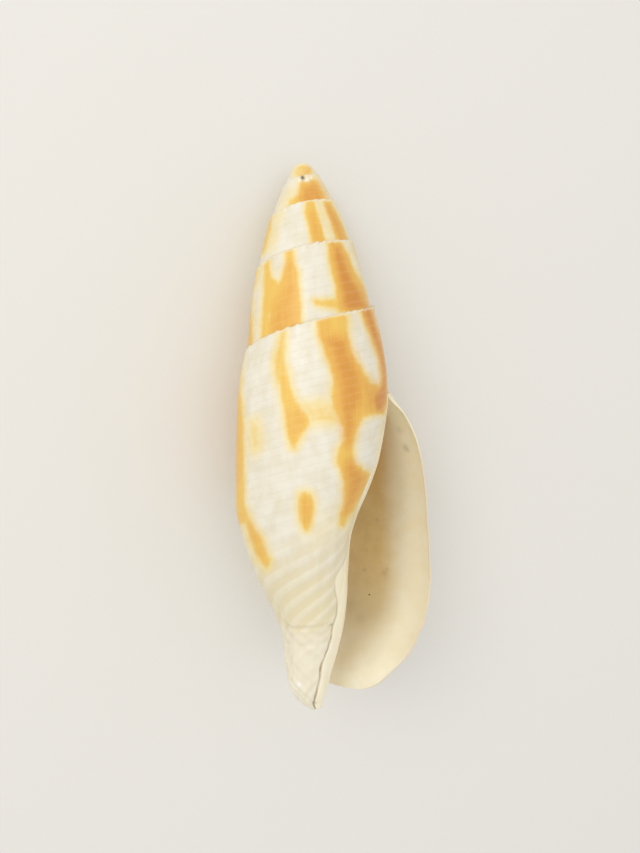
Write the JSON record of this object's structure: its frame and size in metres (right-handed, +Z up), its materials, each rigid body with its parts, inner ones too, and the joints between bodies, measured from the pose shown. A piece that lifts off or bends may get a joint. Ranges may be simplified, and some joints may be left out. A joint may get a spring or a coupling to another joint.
{
  "type": "miter shell",
  "caption": "Empty spindle-shaped miter seashell with a pointed spire and a long narrow mouth, cream with orange flame markings, lying on its back at rest.",
  "frame": {"origin": "centre of the bounding box in X and Y, on the plane the shell rests on", "axes": "+Y toward the apex of the spire, +Z up with the shell lying on its back, +X toward the outer lip"},
  "size_m": [0.0324, 0.0904, 0.0271],
  "materials": {
    "miter_shell": "satin natural shell, cream with soft orange flames, glossier inside the mouth"
  },
  "bodies": {
    "root": {"miter_shell": "miter_shell"}
  },
  "joints": []
}
